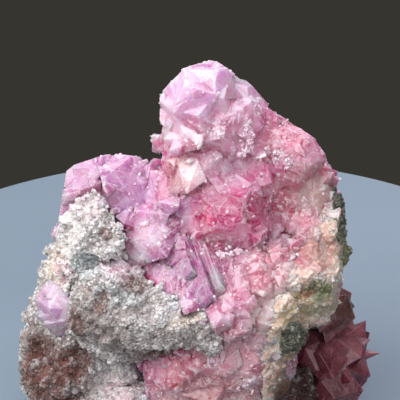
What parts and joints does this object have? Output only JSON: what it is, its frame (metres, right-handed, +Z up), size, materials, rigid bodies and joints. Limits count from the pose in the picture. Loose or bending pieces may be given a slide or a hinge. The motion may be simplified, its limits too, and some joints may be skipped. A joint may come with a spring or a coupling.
{
  "type": "cobaltoan calcite specimen",
  "caption": "Mineral specimen: a pink calcite peak and block of flat-faced crystals on pale granular host rock, with a cream rim and a dark rose cluster, on a flat trimmed base.",
  "frame": {"origin": "middle of the bounding box in plan, on the flat trimmed base", "axes": "+Z up through the peak, -Y towards the show side, +X towards the cream rim and the lower cluster"},
  "size_m": [0.0668, 0.05, 0.072],
  "materials": {
    "pink_calcite": "glassy flat crystal faces, translucent, pale lilac at the tips to deep rose in the gaps",
    "cream_calcite": "fine-grained, waxy, cream with green and brown stains",
    "rose_calcite": "glassy crystal faces, dark rose",
    "lilac_calcite": "glassy crystal faces, pale lilac-pink",
    "host_rock": "rough, sugary grain, grey-white with brown iron stains"
  },
  "bodies": {
    "root": {"pink_calcite": "pink_calcite", "cream_calcite": "cream_calcite", "lower_cluster": "rose_calcite", "left_crystal": "lilac_calcite", "matrix": "host_rock"}
  },
  "joints": []
}
